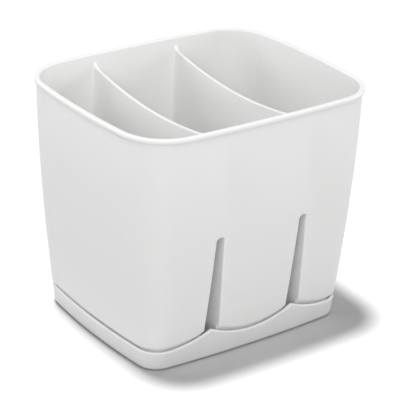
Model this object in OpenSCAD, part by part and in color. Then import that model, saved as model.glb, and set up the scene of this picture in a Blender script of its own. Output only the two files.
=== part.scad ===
// Open holder for chopsticks and cutlery: three cups in one moulding, standing in a drip tray.
// X runs along the long front, Y to the back and Z up, from the middle of the tray's underside.

/* [Outline] */
// Height from the table to the rim
total_h = 150; // [120:1:180]
// Width over the rim lip
rim_w = 172; // [160:1:190]
// Depth over the rim lip
rim_d = 143; // [130:1:160]
// Width at the table
base_w = 146; // [136:1:156]
// Depth at the table
base_d = 119; // [109:1:129]
// Corner radius at the rim
rim_corner_r = 28.5; // [22:0.5:34]
// Corner radius at the table
base_corner_r = 13; // [12:0.5:18]
// How far the left and right walls bow out at the rim
rim_bow = 5.6; // [3:0.1:8]
// How far the left and right walls bow out at the table
base_bow = 4; // [2:0.1:6]
// How far the front and back walls bow out
front_bow = 3.4; // [2:0.1:6]
// How quickly the walls turn upright: 1 is a straight taper
flare = 1.7; // [1:0.1:2.5]

/* [Rim] */
// How far the lip stands out from the wall
lip_out = 1.3; // [0.9:0.1:2]
// Height of the lip
lip_h = 2.8; // [2:0.1:5]
// Rounding of the rim's edges
rim_edge_r = 0.8; // [0.3:0.1:0.8]

/* [Cups] */
// Wall of the cups
wall = 2; // [1.6:0.1:2.4]
// Floor of the cups
floor_t = 2; // [1.5:0.1:3]
// Rounding inside, where a cup's walls meet its floor
floor_r = 5; // [3:0.5:6]
// Rounding outside, under each cup
cup_edge_r = 2; // [1:0.5:3]

/* [Dividers] */
// Distance from the middle of the holder to the middle of a divider
divider_x = 29.8; // [26:0.1:33]
// Thickness of a divider at its top edge
divider_t = 2; // [1.6:0.1:3]
// Height of a divider's top edge, halfway between front and back
divider_z = 134.5; // [110:0.5:138]
// How much that edge sweeps up to the front and back walls
divider_sweep = 8; // [2:0.5:10]
// Fillet where that edge turns up into the walls
divider_end_r = 3; // [1.5:0.5:5]
// Fillet between a divider and the walls at the rim
divider_fillet_top = 1.5; // [1:0.5:4]
// The same fillet at the cups' floors
divider_fillet_low = 6; // [5.5:0.5:8]

/* [Slots between the cups] */
// Height of a slot's crown
slot_top = 82; // [60:1:100]
// Width of a slot just under its crown
slot_crown_w = 5; // [4:0.1:6]
// Width of a slot at the cups' undersides
slot_foot_w = 11.2; // [8:0.1:13]
// Least wall between a slot and a cup
slot_wall = 1.6; // [1.2:0.1:2]
// Rounding of a slot's long edges
slot_edge_r = 1.2; // [0.5:0.1:2]

/* [Drains] */
// Width of a drain slit
slit_w = 2.6; // [2:0.1:3.5]
// Distance from one slit to the next
slit_pitch = 8; // [6:0.5:12]
// Plain floor between the slits and a cup's rounding
slit_margin = 1.5; // [1:0.5:4]

/* [Drip tray] */
// Height of the tray's wall on the sides and under the middle of each cup
tray_h = 12.4; // [11:0.1:16]
// How much the tray's edge rises to the slots
scallop_h = 7.5; // [3:0.1:10]
// Open gap between the tray's edge and the cups
shadow_gap = 2.7; // [1.5:0.1:4]
// Wall of the tray
tray_wall = 2; // [1.5:0.1:2.5]
// Floor of the tray
tray_floor = 2.2; // [1.5:0.1:3]
// Rounding under the tray
tray_edge_r = 2; // [1:0.1:2.5]
// Play between the tray's wall and the cups in it
tray_play = 0.9; // [0.5:0.1:1.5]
// Height of the ribs that carry the cups above the drained water
rib_h = 5; // [4.2:0.1:6]
// Thickness of a rib
rib_t = 1.8; // [1.2:0.1:3]
// Distance between the middle rib and the outer ones
rib_pitch = 32; // [26:1:38]

/* [Hidden] */

// Underside and floor of the cups
cup_z = tray_floor + rib_h;
floor_z = cup_z + floor_t;
// The cups' lower ends are set in by this much, to stand behind the tray's wall
set_in = tray_wall + tray_play;
// Above this height, all of the holder's outside is flush with the tray
skirt_top = tray_h + scallop_h + shadow_gap;
// Height over which the inside follows that step
set_in_blend = 14;
// Reach of a cutting body past the surface that it opens
past = 2;

// Least radius of a fillet that shrinks towards a floor
least = 0.2;
// Angle up a slot's crown at which it is cut flat, just under its top
crown_reach = 75;

// Facets on each round stretch, and rings up a wall
corner_steps = 8;
side_steps = 4;
fillet_steps = 4;
edge_steps = 3;
height_steps = 8;
wedge_steps = 7;
crown_steps = 6;
sweep_steps = 8;
lobe_steps = 12;
bar_facets = 12;

function mix(a, b, t) = a + (b - a) * t;
function clamp01(t) = min(1, max(0, t));
function smooth(t) = let (c = clamp01(t)) c * c * (3 - 2 * c);
function angle_of(v) = atan2(v[1], v[0]);

// A size that flares from the table to the rim: quickly at first, then nearly upright
function flared(low, high, z) = mix(high, low, pow(clamp01(1 - z / total_h), flare));
function half_w(z) = flared(base_w / 2, rim_w / 2 - lip_out, z);
function half_d(z) = flared(base_d / 2, rim_d / 2 - lip_out, z);
function corner_r(z) = flared(base_corner_r, rim_corner_r, z);

// Radius of an arc from its half chord and its height
function bow_r(half, bow) = (half * half + bow * bow) / (2 * bow);
function side_r(z) = bow_r(half_d(z), flared(base_bow, rim_bow, z));
function front_r(z) = bow_r(half_w(z), front_bow);
function side_centre(z) = [half_w(z) - side_r(z), 0];
function front_centre(z) = [0, half_d(z) - front_r(z)];

// The corner's arc touches the side's arc and the front's, so its centre is where two circles cross
function corner_centre(z) =
    let (a = side_centre(z), b = front_centre(z), d = norm(b - a), u = (b - a) / d)
    let (ra = side_r(z) - corner_r(z), rb = front_r(z) - corner_r(z))
    let (m = (ra * ra - rb * rb + d * d) / (2 * d))
    a + m * u + sqrt(ra * ra - m * m) * [-u[1], u[0]];

function arc(centre, r, from, to, steps) =
    [for (k = [0 : steps]) let (t = mix(from, to, k / steps)) centre + r * [cos(t), sin(t)]];
function rest_of(list) = [for (k = [1 : len(list) - 1]) list[k]];

// Outline from the middle of the right side, round the corner, towards the middle of the back.
// Moving it in or out keeps its centres and changes its radii alike.
function side_and_corner(z, inset) =
    let (s = side_centre(z), c = corner_centre(z))
    let (t1 = angle_of(c - s), t2 = angle_of(c - front_centre(z)))
    concat(
        arc(s, side_r(z) - inset, 0, t1, side_steps),
        rest_of(arc(c, max(least, corner_r(z) - inset), t1, t2, corner_steps))
    );
function back_arc(z, inset, from, to, steps) = arc(front_centre(z), front_r(z) - inset, from, to, steps);
function corner_end(z) = angle_of(corner_centre(z) - front_centre(z));

function reversed(list) = [for (k = [len(list) - 1 : -1 : 0]) list[k]];

// Mirror images that close a ring, without repeating the points on the mirror line
function with_left_half(q) =
    concat(q, [for (k = [len(q) - 2 : -1 : 0]) [-q[k][0], q[k][1]]]);
function with_front_half(q, shared) =
    concat(q, [for (k = [len(q) - 1 - shared : -1 : 1]) [q[k][0], -q[k][1]]]);
function at_height(points, z) = [for (p = points) [p[0], p[1], z]];

function outline(z, inset) =
    let (q = concat(side_and_corner(z, inset), rest_of(back_arc(z, inset, corner_end(z), 90, side_steps))))
    with_front_half(with_left_half(q), 1);

// Half the slot's width: a straight wedge under a round crown
crown_r = slot_crown_w / 2;
crown_z = slot_top - crown_r;
function wedge_half(z) = mix(slot_foot_w, slot_crown_w, (z - cup_z) / (crown_z - cup_z)) / 2;
function slot_half(z) =
    z < crown_z ? wedge_half(z) : sqrt(max(0, crown_r * crown_r - pow(z - crown_z, 2)));

// From 0 at the cups' undersides to 1 at a divider's top edge
function up_divider(z) = clamp01((z - cup_z) / (divider_z - cup_z));

// Half a divider's thickness on its cup side: one straight draft from the floor to the top edge
function divider_half(z) =
    mix(wedge_half(cup_z) + slot_wall, divider_t / 2, up_divider(z));
function divider_fillet(z) = mix(divider_fillet_low, divider_fillet_top, up_divider(z));

// How far a cup's inside lies within the outline: one wall, and the step more down in the tray. At
// the rim's rounded inner edge it gets less again.
function cup_inset(z) =
    let (e = clamp01(1 - (total_h - z) / rim_edge_r))
    wall + set_in * (1 - smooth((z - skirt_top) / set_in_blend)) - rim_edge_r * (1 - sqrt(1 - e * e));

// Centre of the fillet that joins the back arc to a divider face, on the side of it given by way
function fillet_centre(z, inset, face_x, r, way) =
    let (x = face_x + way * r, reach = front_r(z) - inset - r)
    [x, front_centre(z)[1] + sqrt(reach * reach - x * x)];

// That fillet in the back, from the divider's face to the wall. way is -1 in the middle cup and 1
// in the right one, and pull draws the cup's whole ring in, for the rounding at its floor.
function divider_corner(z, pull, way) =
    let (face = divider_x + way * (divider_half(z) + pull), r = max(least, divider_fillet(z) - pull))
    let (c = fillet_centre(z, cup_inset(z) + pull, face, r, way), t = angle_of(c - front_centre(z)))
    arc(c, r, way > 0 ? 180 : 0, t, fillet_steps);
function end_angle(corner, z) = angle_of(corner[fillet_steps] - front_centre(z));

// Rings of the cups' insides
function middle_ring(z, pull) =
    let (corner = divider_corner(z, pull, -1), from = end_angle(corner, z))
    let (back = rest_of(back_arc(z, cup_inset(z) + pull, from, 90, side_steps)))
    at_height(with_front_half(with_left_half(concat(corner, back)), 0), z);
function side_ring(z, pull) =
    let (corner = divider_corner(z, pull, 1), to = end_angle(corner, z), inset = cup_inset(z) + pull)
    let (back = back_arc(z, inset, corner_end(z), to, side_steps))
    let (between = [for (k = [1 : side_steps - 1]) back[k]])
    at_height(with_front_half(concat(side_and_corner(z, inset), between, reversed(corner)), 0), z);

// Ring over a divider: from fillet to fillet on the walls, and a step into both cups between them
function divider_ring(z) =
    let (m = divider_corner(z, 0, -1)[fillet_steps], s = divider_corner(z, 0, 1)[fillet_steps])
    let (back = [s + [past, -past], s, m, m - [past, past]])
    at_height(concat(back, [for (p = reversed(back)) [p[0], -p[1]]]), z);

// A rounded edge of radius r from its flat to its wall, as [distance from the flat, distance from the wall]
function rounding(r) =
    [for (k = [0 : edge_steps]) let (t = 90 * k / edge_steps) r * [1 - cos(t), 1 - sin(t)]];

// Heights of the cups' rings above the rounding at the floor
cup_heights = concat(
    [for (k = [0 : edge_steps]) skirt_top + set_in_blend * k / edge_steps],
    [for (k = [1 : height_steps - 1])
        mix(skirt_top + set_in_blend, total_h - rim_edge_r, k / height_steps)],
    [for (e = reversed(rounding(rim_edge_r))) total_h - e[0]],
    [total_h + past]
);

// Solid through a stack of rings, from the lowest up, that all have as many points
module loft(rings) {
    n = len(rings[0]);
    last = len(rings) - 1;
    points = [for (ring = rings) each ring];
    quads = [for (k = [0 : last - 1], j = [0 : n - 1]) [k * n + j, k * n + (j + 1) % n]];
    sides = [for (q = quads) each [[q[0], q[0] + n, q[1] + n], [q[0], q[1] + n, q[1]]]];
    lid = [for (j = [n - 1 : -1 : 0]) last * n + j];
    polyhedron(points, concat(sides, [[for (j = [0 : n - 1]) j], lid]));
}

// Solid inside the outline, from [height, inset] pairs
module outline_loft(levels) {
    loft([for (l = levels) at_height(outline(l[0], l[1]), l[0])]);
}

// Three lobes along the front: 1 at the slots, 0 under the middle of each cup and out to the sides
function lobes(x) = pow(clamp01(1 - abs(abs(x) - divider_x) / divider_x), 2);

// Everything on one side of the scalloped line that starts at height z, up or down to height to_z
module beyond_scallop(z, to_z) {
    far = rim_w;
    inner = [for (k = [-lobe_steps : lobe_steps]) 2 * divider_x * k / lobe_steps];
    line = [for (x = concat([-far], inner, [far])) [x, z + scallop_h * lobes(x)]];
    rotate([90, 0, 0]) linear_extrude(2 * rim_d, center = true)
        polygon(concat(line, [[far, to_z], [-far, to_z]]));
}

// Outside of the holder above the scalloped line, with the rim lip
module skin() {
    lip_z = total_h - lip_h;
    wall_levels = [for (k = [0 : height_steps]) [mix(tray_h, lip_z, k / height_steps), 0]];
    under_lip = [for (e = rounding(rim_edge_r)) [lip_z + e[0], e[1] - lip_out]];
    over_lip = [for (e = reversed(rounding(rim_edge_r))) [total_h - e[0], e[1] - lip_out]];
    intersection() {
        outline_loft(concat(wall_levels, under_lip, over_lip));
        beyond_scallop(tray_h + shadow_gap, total_h + past);
    }
}

// Lower ends of the cups, set in to stand behind the tray's wall
module cup_ends() {
    top = skirt_top + set_in_blend / 2;
    outline_loft(concat(
        [for (e = rounding(cup_edge_r)) [cup_z + e[0], set_in + e[1]]],
        [[tray_h, set_in], [mix(tray_h, top, 0.5), set_in], [top, set_in]]
    ));
}

module middle_cup() {
    low = [for (e = rounding(floor_r)) middle_ring(floor_z + e[0], e[1])];
    loft(concat(low, [for (z = cup_heights) middle_ring(z, 0)]));
}

module side_cup() {
    low = [for (e = rounding(floor_r)) side_ring(floor_z + e[0], e[1])];
    loft(concat(low, [for (z = cup_heights) side_ring(z, 0)]));
}

// Space over a divider's top edge, which sags between the walls and turns up into them
module over_divider() {
    half = fillet_centre(divider_z, wall, divider_x, 0, 1)[1];
    flat = half - divider_end_r;
    sag = [for (k = [0 : sweep_steps]) let (y = flat * k / sweep_steps) [y, sag_z(y / half)]];
    turn = [for (t = [25 : 25 : 75]) let (y = half - divider_end_r * (1 - sin(t)))
        [y, sag_z(y / half) + divider_end_r * (1 - cos(t))]];
    back = concat(sag, turn, [[half + past, total_h + past]]);
    intersection() {
        loft([for (z = cup_heights) divider_ring(z)]);
        rotate([90, 0, 90]) linear_extrude(rim_w, center = true)
            polygon(concat(back, [for (k = [len(back) - 1 : -1 : 1]) [-back[k][0], back[k][1]]]));
    }
}
function sag_z(t) = divider_z + divider_sweep * t * t;

// Outline at height z of the slot between two cups, with a rounded mouth in the back wall and the front
function mouth(z, way) =
    let (r = slot_edge_r * min(1, slot_half(z) / crown_r), x = divider_x + way * (slot_half(z) + r))
    let (y = front_centre(z)[1] + sqrt(pow(front_r(z), 2) - x * x))
    concat(arc([x, y - r], r, way > 0 ? 180 : 0, 90, edge_steps), [[x, y + past]]);
function slot_ring(z) =
    let (back = concat(mouth(z, 1), reversed(mouth(z, -1))))
    at_height(concat(back, [for (p = reversed(back)) [p[0], -p[1]]]), z);

module slot_between_cups() {
    wedge = [for (k = [0 : wedge_steps]) mix(cup_z - past, crown_z, k / wedge_steps)];
    crown = [for (k = [1 : crown_steps]) crown_z + crown_r * sin(crown_reach * k / crown_steps)];
    loft([for (z = concat(wedge, crown)) slot_ring(z)]);
}

// Bar with round ends along X
module bar(from_x, to_x, w, h) {
    hull() {
        for (x = [from_x + w / 2, to_x - w / 2])
            translate([x, 0, 0]) cylinder(h = h, d = w, $fn = bar_facets);
    }
}

// The flat part of a cup's floor at depth y: from and to in X, for the middle cup and the side cups
middle_floor_half = divider_x - divider_half(floor_z) - floor_r;
side_floor_from = divider_x + divider_half(floor_z) + floor_r;
function side_floor_to(y) =
    let (r = side_r(floor_z) - cup_inset(floor_z) - floor_r)
    side_centre(floor_z)[0] + sqrt(r * r - y * y);
function cup_spans(y) = [
    [-middle_floor_half, middle_floor_half],
    [side_floor_from, side_floor_to(y)],
    [-side_floor_to(y), -side_floor_from]
];

// Slits lie in rows on both sides of the middle rib and keep clear of every rib
drain_reach = half_d(floor_z) - cup_inset(floor_z) - floor_r - slit_margin - slit_w / 2 - front_bow;
drain_count = floor(drain_reach / slit_pitch);
rib_clear = (slit_w + rib_t) / 2 + slit_margin;
drain_rows = [for (k = [-drain_count : drain_count]) let (y = k * slit_pitch)
    if (abs(y) > rib_clear && abs(abs(y) - rib_pitch) > rib_clear) y];

module drains() {
    for (y = drain_rows, span = cup_spans(y))
        translate([0, y, cup_z - past])
            bar(span[0] + slit_margin, span[1] - slit_margin, slit_w, floor_t + 2 * past);
}

module holder() {
    color("whitesmoke") difference() {
        union() {
            skin();
            cup_ends();
        }
        middle_cup();
        for (m = [0, 1]) mirror([m, 0, 0]) {
            side_cup();
            over_divider();
            slot_between_cups();
        }
        drains();
    }
}

// Ribs on the tray's floor, three under each cup
module ribs() {
    for (y = [-rib_pitch, 0, rib_pitch], span = cup_spans(y))
        translate([0, y, tray_floor / 2])
            bar(span[0], span[1], rib_t, cup_z - tray_floor / 2);
}

// Heights up the tray's wall, from the end of a rounding to past the top of the scallops
function tray_heights(from) =
    [for (k = [1 : edge_steps]) mix(from, tray_h + scallop_h + past, k / edge_steps)];

module drip_tray() {
    color("white") union() {
        difference() {
            intersection() {
                outline_loft(concat(
                    rounding(tray_edge_r),
                    [for (z = tray_heights(tray_edge_r)) [z, 0]]
                ));
                beyond_scallop(tray_h, -past);
            }
            outline_loft(concat(
                [for (e = rounding(tray_edge_r)) [tray_floor + e[0], tray_wall + e[1]]],
                [for (z = tray_heights(tray_floor + tray_edge_r)) [z, tray_wall]]
            ));
        }
        ribs();
    }
}

holder();
drip_tray();
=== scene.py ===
"""Open holder for chopsticks and cutlery in its drip tray: three tapered cups in one white moulding."""

import math

import bpy
import numpy as np
from mathutils import Matrix, Vector


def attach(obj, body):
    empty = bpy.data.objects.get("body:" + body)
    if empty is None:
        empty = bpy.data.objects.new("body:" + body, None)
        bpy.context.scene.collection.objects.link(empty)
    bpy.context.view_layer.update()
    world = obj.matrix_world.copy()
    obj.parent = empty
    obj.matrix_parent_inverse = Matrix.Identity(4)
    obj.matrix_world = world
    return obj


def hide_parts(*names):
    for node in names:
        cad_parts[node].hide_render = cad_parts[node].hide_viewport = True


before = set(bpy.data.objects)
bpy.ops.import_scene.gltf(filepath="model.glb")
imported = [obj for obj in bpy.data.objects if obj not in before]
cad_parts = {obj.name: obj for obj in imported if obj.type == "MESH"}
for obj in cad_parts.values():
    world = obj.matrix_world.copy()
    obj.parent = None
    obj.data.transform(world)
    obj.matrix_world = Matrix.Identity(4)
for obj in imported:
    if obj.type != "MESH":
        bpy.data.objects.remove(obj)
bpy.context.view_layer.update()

MM = 0.001

# Sizes in millimetres, as in the part's source
TOTAL_H = 150.0
RIM_W, RIM_D = 172.0, 143.0
BASE_W, BASE_D = 146.0, 119.0
RIM_CORNER_R, BASE_CORNER_R = 28.5, 13.0
RIM_BOW, BASE_BOW, FRONT_BOW = 5.6, 4.0, 3.4
FLARE = 1.7
LIP_OUT, LIP_H, RIM_EDGE_R = 1.3, 2.8, 0.8
WALL, FLOOR_T, FLOOR_R, CUP_EDGE_R = 2.0, 2.0, 5.0, 2.0
DIVIDER_X, DIVIDER_T, DIVIDER_Z, DIVIDER_SWEEP = 29.8, 2.0, 134.5, 8.0
DIVIDER_END_R = 3.0
DIVIDER_FILLET_TOP, DIVIDER_FILLET_LOW = 1.5, 6.0
SLOT_TOP, SLOT_CROWN_W, SLOT_FOOT_W = 82.0, 5.0, 11.2
SLOT_WALL, SLOT_EDGE_R = 1.6, 1.2
SLIT_W, SLIT_PITCH, SLIT_MARGIN = 2.6, 8.0, 1.5
TRAY_H, SCALLOP_H, SHADOW_GAP = 12.4, 7.5, 2.7
TRAY_WALL, TRAY_FLOOR, TRAY_EDGE_R, TRAY_PLAY = 2.0, 2.2, 2.0, 0.9
RIB_H, RIB_T, RIB_PITCH = 5.0, 1.8, 32.0

CUP_Z = TRAY_FLOOR + RIB_H
FLOOR_Z = CUP_Z + FLOOR_T
SET_IN = TRAY_WALL + TRAY_PLAY
SKIRT_TOP = TRAY_H + SCALLOP_H + SHADOW_GAP
SET_IN_BLEND = 14.0
PAST = 2.0
LEAST = 0.2

# Small roundings that only show here
HEM_R = 0.5
TRAY_RIM_R = 0.6
DIVIDER_EDGE_R = 0.6
RIB_EDGE_R = 0.5

# Edges that turn by more than this stay sharp, in degrees
CREASE = 32

# Floor's side in millimetres and its squares, and how bright the world lights the object
FLOOR_SIDE, FLOOR_STEPS = 6000.0, 24
WORLD_LIGHT = 0.25

# Camera fitted to the photograph: place in millimetres, angles in degrees, lens in millimetres
CAMERA_AT = (-565.5, -775.9, 516.6)
CAMERA_AZIMUTH, CAMERA_ELEVATION, CAMERA_ROLL = -36.24, 24.85, 1.93
CAMERA_LENS, CAMERA_SENSOR = 156.98, 36.0

# Soft boxes: distance and the height they aim at, in metres
LAMP_DISTANCE, LAMP_AIM_Z = 1.6, 0.08

# Points on each stretch of a quarter outline, and steps round an edge
SIDE_N, CORNER_N, FRONT_N = 20, 24, 60
EDGE_N = 6


# Outline

def mix(a, b, t):
    return a + (b - a) * t


def smooth(t):
    c = np.clip(t, 0, 1)
    return c * c * (3 - 2 * c)


def flared(low, high, z):
    return mix(high, low, np.clip(1 - np.asarray(z, float) / TOTAL_H, 0, 1) ** FLARE)


def half_w(z):
    return flared(BASE_W / 2, RIM_W / 2 - LIP_OUT, z)


def half_d(z):
    return flared(BASE_D / 2, RIM_D / 2 - LIP_OUT, z)


def corner_r(z):
    return flared(BASE_CORNER_R, RIM_CORNER_R, z)


def bow_r(half, bow):
    return (half * half + bow * bow) / (2 * bow)


def side_r(z):
    return bow_r(half_d(z), flared(BASE_BOW, RIM_BOW, z))


def front_r(z):
    return bow_r(half_w(z), FRONT_BOW)


def side_centre_x(z):
    return half_w(z) - side_r(z)


def front_centre_y(z):
    return half_d(z) - front_r(z)


def corner_centre(z):
    """Centre of the corner's arc, which touches the side's arc and the front's."""
    sx, fy = side_centre_x(z), front_centre_y(z)
    dx, dy = -sx, fy
    d = np.hypot(dx, dy)
    ux, uy = dx / d, dy / d
    ra, rb = side_r(z) - corner_r(z), front_r(z) - corner_r(z)
    m = (ra * ra - rb * rb + d * d) / (2 * d)
    h = np.sqrt(ra * ra - m * m)
    return sx + m * ux - h * uy, m * uy + h * ux


def quarter(side_n, corner_n, front_n):
    """Stretch (0 side, 1 corner, 2 back) and share along it, for a quarter outline."""
    stretch = [0] * side_n + [1] * corner_n + [2] * (front_n + 1)
    share = [k / side_n for k in range(side_n)]
    share += [k / corner_n for k in range(corner_n)]
    share += [k / front_n for k in range(front_n + 1)]
    return np.array(stretch), np.array(share)


def quarter_xy(stretch, share, z, inset):
    """Points of the right back quarter, each at its own height and inset."""
    z = np.broadcast_to(np.asarray(z, float), stretch.shape)
    inset = np.broadcast_to(np.asarray(inset, float), stretch.shape)
    sx, fy = side_centre_x(z), front_centre_y(z)
    cx, cy = corner_centre(z)
    t1 = np.arctan2(cy, cx - sx)
    t2 = np.arctan2(cy - fy, cx)
    start = np.choose(stretch, [0 * t1, t1, t2])
    end = np.choose(stretch, [t1, t2, 0 * t1 + math.pi / 2])
    t = mix(start, end, share)
    r = np.choose(stretch, [side_r(z) - inset, np.maximum(LEAST, corner_r(z) - inset), front_r(z) - inset])
    x0 = np.choose(stretch, [sx, cx, 0 * sx])
    y0 = np.choose(stretch, [0 * fy, cy, fy])
    return x0 + r * np.cos(t), y0 + r * np.sin(t)


class Perimeter:
    """Whole outline from the middle of the right side round to the left and back."""

    def __init__(self):
        self.stretch, self.share = quarter(SIDE_N, CORNER_N, FRONT_N)
        n = len(self.share)
        q1 = list(range(n))
        q2 = list(range(n - 2, -1, -1))
        q3 = list(range(1, n))
        q4 = list(range(n - 2, 0, -1))
        self.index = np.array(q1 + q2 + q3 + q4)
        self.sx = np.array([1] * len(q1) + [-1] * (len(q2) + len(q3)) + [1] * len(q4))
        self.sy = np.array([1] * (len(q1) + len(q2)) + [-1] * (len(q3) + len(q4)))
        self.n = len(self.index)

    def ring(self, z, inset):
        """Ring of points at the heights z, one for each point or one for all."""
        z = np.broadcast_to(np.asarray(z, float), (self.n,))
        inset = np.broadcast_to(np.asarray(inset, float), (self.n,))
        stretch, share = self.stretch[self.index], self.share[self.index]
        x, y = quarter_xy(stretch, share, z, inset)
        return np.stack([x * self.sx, y * self.sy, z], axis=1)

    def scallop(self, base, near_z):
        """Height of the scalloped line at each point."""
        x = self.ring(near_z, 0)[:, 0]
        return base + SCALLOP_H * lobes(x)


def lobes(x):
    return np.clip(1 - np.abs(np.abs(x) - DIVIDER_X) / DIVIDER_X, 0, 1) ** 2


# Cups, dividers and slots

CROWN_R = SLOT_CROWN_W / 2
CROWN_Z = SLOT_TOP - CROWN_R


def wedge_half(z):
    return mix(SLOT_FOOT_W, SLOT_CROWN_W, (z - CUP_Z) / (CROWN_Z - CUP_Z)) / 2


def slot_half(z):
    if z < CROWN_Z:
        return wedge_half(z)
    return math.sqrt(max(0, CROWN_R ** 2 - (z - CROWN_Z) ** 2))


def up_divider(z):
    return min(1, max(0, (z - CUP_Z) / (DIVIDER_Z - CUP_Z)))


def divider_half(z):
    return mix(wedge_half(CUP_Z) + SLOT_WALL, DIVIDER_T / 2, up_divider(z))


def divider_fillet(z):
    return mix(DIVIDER_FILLET_LOW, DIVIDER_FILLET_TOP, up_divider(z))


def cup_inset(z):
    """Wall and skirt at this height, less the rounding at the rim's inner edge."""
    e = min(1, max(0, 1 - (TOTAL_H - z) / RIM_EDGE_R))
    set_in = SET_IN * (1 - smooth((z - SKIRT_TOP) / SET_IN_BLEND))
    return WALL + set_in - RIM_EDGE_R * (1 - math.sqrt(1 - e * e))


def arc(cx, cy, r, start, end, steps):
    t = np.linspace(start, end, steps + 1)
    return np.stack([cx + r * np.cos(t), cy + r * np.sin(t)], axis=1)


def divider_corner(z, pull, way, steps=8):
    """Fillet in the back between a divider's face and the wall, and the angle where it ends."""
    inset = cup_inset(z) + pull
    r = max(LEAST, divider_fillet(z) - pull)
    cx = DIVIDER_X + way * (divider_half(z) + pull + r)
    fy = float(front_centre_y(z))
    cy = fy + math.sqrt((float(front_r(z)) - inset - r) ** 2 - cx * cx)
    t = math.atan2(cy - fy, cx)
    return arc(cx, cy, r, math.pi if way > 0 else 0, t, steps), t


def back_arc(z, inset, start, end, steps):
    return arc(0, float(front_centre_y(z)), float(front_r(z)) - inset, start, end, steps)


def at_height(points, z):
    return np.column_stack([points, np.full(len(points), float(z))])


def with_left_half(q):
    return np.vstack([q, q[-2::-1] * [-1, 1]])


def middle_ring(z, pull):
    corner, start = divider_corner(z, pull, -1)
    back = back_arc(z, cup_inset(z) + pull, start, math.pi / 2, 24)[1:]
    half = with_left_half(np.vstack([corner, back]))
    return at_height(np.vstack([half, half[::-1] * [1, -1]]), z)


def side_ring(z, pull):
    corner, end = divider_corner(z, pull, 1)
    inset = cup_inset(z) + pull
    stretch, share = quarter(SIDE_N, CORNER_N, 1)
    x, y = quarter_xy(stretch[:-1], share[:-1], z, inset)
    cx, cy = corner_centre(z)
    start = math.atan2(cy - front_centre_y(z), cx)
    back = back_arc(z, inset, start, end, 16)[1:-1]
    q = np.vstack([np.column_stack([x, y]), back, corner[::-1]])
    return at_height(np.vstack([q, q[:0:-1] * [1, -1]]), z)


def rounding(r, steps=EDGE_N):
    """A rounded edge from its flat to its wall: distances from the flat and from the wall."""
    return [(r * (1 - math.cos(t)), r * (1 - math.sin(t))) for t in np.linspace(0, math.pi / 2, steps + 1)]


def cup_levels():
    low = [(FLOOR_Z + a, b) for a, b in rounding(FLOOR_R, 10)]
    skirt = [(z, 0) for z in np.linspace(FLOOR_Z + FLOOR_R, SKIRT_TOP, 5)[1:]]
    blend = [(z, 0) for z in np.linspace(SKIRT_TOP, SKIRT_TOP + SET_IN_BLEND, 11)[1:]]
    upper = [(z, 0) for z in np.linspace(SKIRT_TOP + SET_IN_BLEND, TOTAL_H - RIM_EDGE_R, 33)[1:-1]]
    rim = [(TOTAL_H - a, 0) for a, b in reversed(rounding(RIM_EDGE_R))]
    return low + skirt + blend + upper + rim + [(TOTAL_H + PAST, 0)]


def slot_ring(z):
    half = slot_half(z)
    r = SLOT_EDGE_R * min(1, half / CROWN_R)
    fr, fy = float(front_r(z)), float(front_centre_y(z))
    sides = []
    for way in (1, -1):
        x = DIVIDER_X + way * (half + r)
        y = fy + math.sqrt(fr ** 2 - x * x) + 0.015 * r
        mouth = np.vstack([arc(x, y - r, r, math.pi if way > 0 else 0, math.pi / 2, 8), [[x, y + PAST]]])
        sides.append(mouth)
    back = np.vstack([sides[0], sides[1][::-1]])
    return at_height(np.vstack([back, back[::-1] * [1, -1]]), z)


# Meshes

def grid_mesh(rings):
    """Vertices and faces of a closed skin through a stack of rings, from the lowest up."""
    n = len(rings[0])
    verts = np.vstack(rings)
    faces = []
    for k in range(len(rings) - 1):
        for j in range(n):
            a, b = k * n + j, k * n + (j + 1) % n
            faces.append((a, b, b + n, a + n))
    last = (len(rings) - 1) * n
    faces.append(tuple(range(n - 1, -1, -1)))
    faces.append(tuple(range(last, last + n)))
    return verts, faces


def mirrored(verts, faces):
    return verts * [-1, 1, 1], [tuple(reversed(f)) for f in faces]


def make_object(name, parts):
    """One object from a list of (vertices in mm, faces)."""
    verts, faces = [], []
    for v, f in parts:
        base = len(verts)
        verts.extend((np.asarray(v) * MM).tolist())
        faces.extend(tuple(i + base for i in face) for face in f)
    mesh = bpy.data.meshes.new(name)
    mesh.from_pydata(verts, [], faces)
    mesh.validate()
    mesh.update()
    ob = bpy.data.objects.new(name, mesh)
    bpy.context.scene.collection.objects.link(ob)
    return ob


def applied(ob, cutters, operation):
    """Applies a Boolean with each cutter in turn, and takes the cutters away."""
    for cutter in cutters:
        mod = ob.modifiers.new("cut", "BOOLEAN")
        mod.operation = operation
        mod.solver = "MANIFOLD"
        mod.object = cutter
    bpy.context.view_layer.update()
    graph = bpy.context.evaluated_depsgraph_get()
    mesh = bpy.data.meshes.new_from_object(ob.evaluated_get(graph))
    ob.modifiers.clear()
    old = ob.data
    name = old.name
    ob.data = mesh
    bpy.data.meshes.remove(old)
    mesh.name = name
    for cutter in cutters:
        data = cutter.data
        bpy.data.objects.remove(cutter)
        bpy.data.meshes.remove(data)


def smoothed(ob):
    """Smooth faces, with a crease at the sharp edges."""
    ob.data.shade_smooth()
    ob.data.set_sharp_from_angle(angle=math.radians(CREASE))
    mod = ob.modifiers.new("even normals", "WEIGHTED_NORMAL")
    mod.mode = "FACE_AREA"
    mod.weight = 60
    mod.keep_sharp = True


def bar(x0, x1, y, w, z0, z1, edge=0.0, steps=8):
    """Upright bar with round ends along X, and a rounded upper edge."""
    def section(inset):
        r = w / 2 - inset
        right = arc(x1 - w / 2, y, r, -math.pi / 2, math.pi / 2, steps)
        left = arc(x0 + w / 2, y, r, math.pi / 2, 3 * math.pi / 2, steps)
        return np.vstack([right, left])

    rings = [at_height(section(0), z0)]
    if edge:
        rings += [at_height(section(b), z1 - a) for a, b in reversed(rounding(edge, 4))]
    else:
        rings.append(at_height(section(0), z1))
    return grid_mesh(rings)


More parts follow.
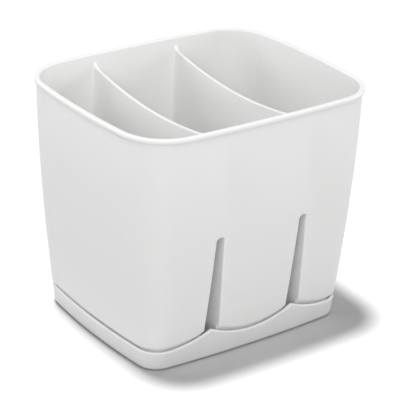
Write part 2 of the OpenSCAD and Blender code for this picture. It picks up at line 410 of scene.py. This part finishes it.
MIDDLE_FLOOR_HALF = DIVIDER_X - divider_half(FLOOR_Z) - FLOOR_R
SIDE_FLOOR_FROM = DIVIDER_X + divider_half(FLOOR_Z) + FLOOR_R


def cup_spans(y):
    """The flat part of each cup's floor at depth y, from and to in X."""
    r = float(side_r(FLOOR_Z)) - cup_inset(FLOOR_Z) - FLOOR_R
    to = float(side_centre_x(FLOOR_Z)) + math.sqrt(r * r - y * y)
    return [(-MIDDLE_FLOOR_HALF, MIDDLE_FLOOR_HALF), (SIDE_FLOOR_FROM, to), (-to, -SIDE_FLOOR_FROM)]


def drain_rows():
    reach = float(half_d(FLOOR_Z)) - cup_inset(FLOOR_Z) - FLOOR_R - SLIT_MARGIN - SLIT_W / 2 - FRONT_BOW
    count = math.floor(reach / SLIT_PITCH)
    clear = (SLIT_W + RIB_T) / 2 + SLIT_MARGIN
    rows = [k * SLIT_PITCH for k in range(-count, count + 1)]
    return [y for y in rows if abs(y) > clear and abs(abs(y) - RIB_PITCH) > clear]


def sag_z(t):
    return DIVIDER_Z + DIVIDER_SWEEP * t * t


def divider_ring(z):
    """From fillet to fillet on the walls, and a step into both cups between them."""
    inset = cup_inset(z)
    m, start = divider_corner(z, 0, -1)
    s, end = divider_corner(z, 0, 1)
    wall = back_arc(z, inset, end, start, 6)
    back = np.vstack([s[-1] + [PAST, -PAST], wall, m[-1] - [PAST, PAST]])
    return at_height(np.vstack([back, back[::-1] * [1, -1]]), z)


def edge_line():
    """Side view of a divider's top edge, [y, z] from the middle to past the wall."""
    r = float(front_r(DIVIDER_Z)) - WALL
    half = float(front_centre_y(DIVIDER_Z)) + math.sqrt(r * r - DIVIDER_X ** 2)
    flat = half - DIVIDER_END_R
    line = [(y, sag_z(y / half)) for y in np.linspace(0, flat, 33)]
    for t in np.linspace(0, math.radians(75), 8)[1:]:
        y = flat + DIVIDER_END_R * math.sin(t)
        line.append((y, sag_z(y / half) + DIVIDER_END_R * (1 - math.cos(t))))
    return line + [(half + PAST, TOTAL_H + PAST)]


def over_divider():
    """Body that cuts a divider's top edge to its sagging line and rounds the edge's two corners."""
    half = DIVIDER_T / 2
    r = DIVIDER_EDGE_R
    turn = np.linspace(0, math.pi / 2, 7)
    right = [(half - r + r * math.sin(t), -r * (1 - math.cos(t))) for t in turn]
    reach = half + DIVIDER_FILLET_TOP + 2 * PAST
    right.append((reach, -r))
    across = [(-x, drop) for x, drop in reversed(right)] + right
    line = edge_line()
    line = [(-y, z) for y, z in line[:0:-1]] + line
    top = TOTAL_H + 2 * PAST
    rings = []
    for y, z in line:
        low = [(DIVIDER_X + x, y, z + drop) for x, drop in across]
        high = [(DIVIDER_X + x, y, top) for x, _ in reversed(across)]
        rings.append(np.array(low + high))
    verts, faces = grid_mesh(rings)
    cutter = make_object("over_divider", [(verts, [tuple(reversed(f)) for f in faces])])
    heights = [z for z, pull in cup_levels() if z > SKIRT_TOP + SET_IN_BLEND]
    shaft = make_object("shaft", [grid_mesh([divider_ring(z) for z in heights])])
    applied(cutter, [shaft], "INTERSECT")
    verts = np.array([v.co for v in cutter.data.vertices]) / MM
    faces = [tuple(f.vertices) for f in cutter.data.polygons]
    data = cutter.data
    bpy.data.objects.remove(cutter)
    bpy.data.meshes.remove(data)
    return verts, faces


def holder_body():
    around = Perimeter()
    hem = around.scallop(TRAY_H + SHADOW_GAP, TRAY_H + SHADOW_GAP + SCALLOP_H / 2)
    lip_z = TOTAL_H - LIP_H
    levels = [(CUP_Z + a, SET_IN + b) for a, b in rounding(CUP_EDGE_R)]
    levels += [(mix(CUP_Z + CUP_EDGE_R, hem, t), SET_IN) for t in np.linspace(0, 1, 7)[1:]]
    levels += [(hem, mix(SET_IN, HEM_R, t)) for t in (0.5, 1)]
    levels += [(hem + a, b) for a, b in rounding(HEM_R)[1:]]
    levels += [(mix(hem + HEM_R, lip_z, t), 0) for t in np.linspace(0, 1, 49)[1:]]
    levels += [(lip_z + a, b - LIP_OUT) for a, b in rounding(RIM_EDGE_R)]
    levels += [(TOTAL_H - a, b - LIP_OUT) for a, b in reversed(rounding(RIM_EDGE_R))]
    return grid_mesh([around.ring(z, inset) for z, inset in levels])


def build_holder():
    ob = make_object("holder_moulding", [holder_body()])
    levels = cup_levels()
    middle = grid_mesh([middle_ring(z, pull) for z, pull in levels])
    side = grid_mesh([side_ring(z, pull) for z, pull in levels])
    heights = list(np.linspace(CUP_Z - PAST, CROWN_Z, 41))
    heights += [CROWN_Z + CROWN_R * math.sin(t) for t in np.linspace(0, math.radians(84), 13)[1:]]
    slot = grid_mesh([slot_ring(z) for z in heights])
    over = over_divider()
    slits = []
    for y in drain_rows():
        for start, end in cup_spans(y):
            ends = (start + SLIT_MARGIN, end - SLIT_MARGIN)
            slits.append(bar(*ends, y, SLIT_W, CUP_Z - PAST, FLOOR_Z + PAST))
    cutters = [
        make_object("cups", [middle, side, mirrored(*side)]),
        make_object("slots", [slot, mirrored(*slot)]),
        make_object("over_dividers", [over, mirrored(*over)]),
        make_object("slits", slits),
    ]
    applied(ob, cutters, "DIFFERENCE")
    smoothed(ob)
    return ob


def build_tray():
    around = Perimeter()
    edge = around.scallop(TRAY_H, TRAY_H + SCALLOP_H / 2)
    r = TRAY_RIM_R
    levels = [(a, b) for a, b in rounding(TRAY_EDGE_R, 8)]
    levels += [(mix(TRAY_EDGE_R, edge - r, t), 0) for t in np.linspace(0, 1, 11)[1:]]
    levels += [(edge - a, b) for a, b in list(reversed(rounding(r)))[1:]]
    levels += [(edge, TRAY_WALL - r)]
    levels += [(edge - a, TRAY_WALL - b) for a, b in rounding(r)[1:]]
    levels += [(mix(edge - r, TRAY_FLOOR + TRAY_EDGE_R, t), TRAY_WALL) for t in np.linspace(0, 1, 9)[1:]]
    levels += [(TRAY_FLOOR + a, TRAY_WALL + b) for a, b in list(reversed(rounding(TRAY_EDGE_R)))[1:]]
    verts, faces = grid_mesh([around.ring(z, inset) for z, inset in levels])
    ob = make_object("drip_tray_moulding", [(verts, faces)])
    ribs = []
    for y in (-RIB_PITCH, 0, RIB_PITCH):
        for start, end in cup_spans(y):
            ribs.append(bar(start, end, y, RIB_T, TRAY_FLOOR / 2, CUP_Z, RIB_EDGE_R))
    applied(ob, [make_object("ribs", ribs)], "UNION")
    smoothed(ob)
    return ob


# Finishes

def node(tree, kind, **inputs):
    made = tree.nodes.new(kind)
    for key, value in inputs.items():
        made.inputs[key.replace("_", " ")].default_value = value
    return made


def ramp(tree, source, low, high, from_value, to_value):
    made = tree.nodes.new("ShaderNodeMapRange")
    made.inputs["From Min"].default_value = low
    made.inputs["From Max"].default_value = high
    made.inputs["To Min"].default_value = from_value
    made.inputs["To Max"].default_value = to_value
    tree.links.new(source, made.inputs["Value"])
    return made.outputs["Result"]


def white_plastic():
    mat = bpy.data.materials.new("white_plastic")
    mat.use_nodes = True
    tree = mat.node_tree
    tree.nodes.clear()
    out = tree.nodes.new("ShaderNodeOutputMaterial")
    shader = tree.nodes.new("ShaderNodeBsdfPrincipled")
    tree.links.new(shader.outputs["BSDF"], out.inputs["Surface"])
    shader.inputs["IOR"].default_value = 1.49
    shader.inputs["Subsurface Weight"].default_value = 0.5
    shader.inputs["Subsurface Radius"].default_value = (1, 1, 1)
    shader.inputs["Subsurface Scale"].default_value = 0.004
    place = tree.nodes.new("ShaderNodeTexCoord").outputs["Object"]

    # Slow drift in tone and gloss, as melt and mould surface vary over a large wall
    drift = node(tree, "ShaderNodeTexNoise", Scale=14.0, Detail=3.0, Roughness=0.5)
    tree.links.new(place, drift.inputs["Vector"])
    fine = node(tree, "ShaderNodeTexNoise", Scale=900.0, Detail=4.0, Roughness=0.6)
    tree.links.new(place, fine.inputs["Vector"])

    tone = tree.nodes.new("ShaderNodeMix")
    tone.data_type = "RGBA"
    tone.inputs["A"].default_value = (0.858, 0.858, 0.852, 1)
    tone.inputs["B"].default_value = (0.882, 0.882, 0.876, 1)
    tree.links.new(drift.outputs["Fac"], tone.inputs["Factor"])
    tree.links.new(tone.outputs["Result"], shader.inputs["Base Color"])

    gloss = ramp(tree, drift.outputs["Fac"], 0.3, 0.7, 0.42, 0.52)
    tree.links.new(gloss, shader.inputs["Roughness"])

    grain = node(tree, "ShaderNodeBump", Strength=0.06, Distance=0.0002)
    tree.links.new(fine.outputs["Fac"], grain.inputs["Height"])
    tree.links.new(grain.outputs["Normal"], shader.inputs["Normal"])
    return mat


plastic = white_plastic()
holder = build_holder()
tray = build_tray()
for piece, body, cad in ((holder, "holder", "holder"), (tray, "tray", "drip_tray")):
    piece.data.materials.clear()
    piece.data.materials.append(plastic)
    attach(piece, body)
    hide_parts(cad)


# Floor, lights and camera

def shown_ray(tree):
    """1 for camera, glossy and transmission rays, which show the background, and else 0."""
    path = tree.nodes.new("ShaderNodeLightPath")
    value = path.outputs["Is Camera Ray"]
    for name in ("Is Glossy Ray", "Is Transmission Ray"):
        either = tree.nodes.new("ShaderNodeMath")
        either.operation = "MAXIMUM"
        tree.links.new(value, either.inputs[0])
        tree.links.new(path.outputs[name], either.inputs[1])
        value = either.outputs[0]
    return value


def floor_material():
    mat = bpy.data.materials.new("pale_floor")
    mat.use_nodes = True
    tree = mat.node_tree
    tree.nodes.clear()
    out = tree.nodes.new("ShaderNodeOutputMaterial")
    shader = tree.nodes.new("ShaderNodeBsdfDiffuse")
    tone = tree.nodes.new("ShaderNodeMix")
    tone.data_type = "RGBA"
    tone.inputs["A"].default_value = (0.5, 0.5, 0.5, 1)
    tone.inputs["B"].default_value = (1.0, 1.0, 1.0, 1)
    tree.links.new(shown_ray(tree), tone.inputs["Factor"])
    tree.links.new(tone.outputs["Result"], shader.inputs["Color"])
    tree.links.new(shader.outputs["BSDF"], out.inputs["Surface"])
    return mat


def build_floor():
    n = FLOOR_STEPS
    line = np.linspace(-FLOOR_SIDE / 2, FLOOR_SIDE / 2, n + 1)
    verts = [(x, y, 0.0) for y in line for x in line]
    faces = []
    for j in range(n):
        for i in range(n):
            a = j * (n + 1) + i
            faces.append((a, a + 1, a + n + 2, a + n + 1))
    ob = make_object("floor", [(np.array(verts), faces)])
    ob.data.materials.append(floor_material())
    return ob


def lamp(name, kind, azimuth, elevation, power):
    """Azimuth turns from the front (-Y) towards the right (+X)."""
    az, el = math.radians(azimuth), math.radians(elevation)
    away = Vector((math.sin(az) * math.cos(el), -math.cos(az) * math.cos(el), math.sin(el)))
    data = bpy.data.lights.new(name, kind)
    data.energy = power
    ob = bpy.data.objects.new(name, data)
    ob.location = Vector((0, 0, LAMP_AIM_Z)) + away * LAMP_DISTANCE
    ob.rotation_euler = away.to_track_quat("Z", "Y").to_euler()
    bpy.context.scene.collection.objects.link(ob)
    return ob


def receivers(name, objects):
    """Collection that keeps a lamp's light to these objects."""
    made = bpy.data.collections.new(name)
    for ob in objects:
        made.objects.link(ob)
    return made


def build_lamps(floor):
    """Soft boxes for the object, and one soft overhead light for the floor and its shadow."""
    pieces = receivers("lit_pieces", [holder, tray])
    for name, azimuth, elevation, size, power in (
        ("back_left", -142, 30, 0.9, 9.8),
        ("camera_side", -38, 36, 0.9, 8.2),
        ("camera_low", -28, 11, 0.4, 3.8),
        ("right", 74, 16, 0.6, 8.0),
        ("overhead", -30, 74, 0.9, 9.2),
    ):
        ob = lamp(name, "AREA", azimuth, elevation, power)
        ob.data.shape = "SQUARE"
        ob.data.size = size
        ob.light_linking.receiver_collection = pieces
    above = lamp("above_floor", "SUN", -150, 83.5, 2.5)
    above.data.angle = math.radians(7)
    above.light_linking.receiver_collection = receivers("lit_floor", [floor])


def build_world():
    world = bpy.data.worlds.new("studio")
    bpy.context.scene.world = world
    world.use_nodes = True
    tree = world.node_tree
    background = tree.nodes["Background"]
    background.inputs["Color"].default_value = (1, 1, 1, 1)
    strength = ramp(tree, shown_ray(tree), 0.0, 1.0, WORLD_LIGHT, 1.0)
    tree.links.new(strength, background.inputs["Strength"])


def build_camera():
    az, el = math.radians(CAMERA_AZIMUTH), math.radians(CAMERA_ELEVATION)
    roll = math.radians(CAMERA_ROLL)
    back = Vector((math.sin(az) * math.cos(el), -math.cos(az) * math.cos(el), math.sin(el)))
    right = Vector((math.cos(az), math.sin(az), 0))
    up = back.cross(right)
    x = right * math.cos(roll) + up * math.sin(roll)
    y = up * math.cos(roll) - right * math.sin(roll)
    data = bpy.data.cameras.new("camera")
    data.lens = CAMERA_LENS
    data.sensor_width = CAMERA_SENSOR
    data.clip_start = 0.05
    data.clip_end = 20.0
    ob = bpy.data.objects.new("camera", data)
    place = Vector(CAMERA_AT) * MM
    ob.matrix_world = Matrix((
        (x.x, y.x, back.x, place.x),
        (x.y, y.y, back.y, place.y),
        (x.z, y.z, back.z, place.z),
        (0, 0, 0, 1),
    ))
    bpy.context.scene.collection.objects.link(ob)
    bpy.context.scene.camera = ob


build_lamps(build_floor())
build_world()
build_camera()
bpy.context.scene.view_settings.view_transform = "Standard"
